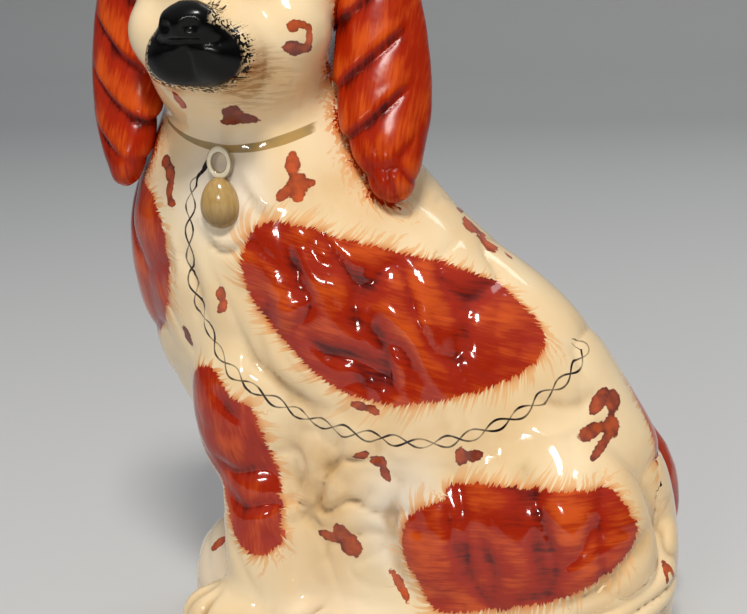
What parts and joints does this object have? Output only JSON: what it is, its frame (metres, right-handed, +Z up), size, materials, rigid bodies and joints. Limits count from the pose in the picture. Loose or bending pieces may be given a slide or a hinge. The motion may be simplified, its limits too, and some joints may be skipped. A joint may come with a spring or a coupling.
{
  "type": "ceramic dog figurine",
  "caption": "Seated spaniel mantel figurine in hollow glazed earthenware, head turned to the front, with painted patches, collar, padlock and chain.",
  "frame": {"origin": "centre of the figure's flat base, on the face it stands on", "axes": "+Z up, +X from the chest towards the rump, -Y the side that the face looks to"},
  "size_m": [0.2388, 0.1458, 0.3197],
  "materials": {
    "body_front_half": "gloss lead glaze, cream with painted russet patches and a fine dark chain",
    "body_back_half": "gloss lead glaze, cream with painted russet patches",
    "head_face_half": "gloss lead glaze, cream with a black muzzle, russet dabs and painted eyes",
    "head_back_half": "gloss lead glaze, cream with a russet crown patch",
    "base_slab": "wiped earthenware, thin dull glaze",
    "near_foreleg": "gloss lead glaze, cream with a feathered russet patch",
    "far_foreleg": "gloss lead glaze, cream with a feathered russet patch",
    "near_hind_foot": "gloss lead glaze, cream",
    "far_hind_foot": "gloss lead glaze, cream",
    "tail": "gloss lead glaze, cream with a russet tip",
    "right_ear": "gloss lead glaze over brushed iron red",
    "left_ear": "gloss lead glaze over brushed iron red",
    "padlock": "worn olive gilding under gloss glaze",
    "padlock_shackle": "worn olive gilding under gloss glaze"
  },
  "bodies": {
    "root": {"body_front_half": "body_front_half", "body_back_half": "body_back_half", "head_face_half": "head_face_half", "head_back_half": "head_back_half", "base_slab": "base_slab", "near_foreleg": "near_foreleg", "far_foreleg": "far_foreleg", "near_hind_foot": "near_hind_foot", "far_hind_foot": "far_hind_foot", "tail": "tail", "right_ear": "right_ear", "left_ear": "left_ear", "padlock": "padlock", "padlock_shackle": "padlock_shackle"}
  },
  "joints": []
}
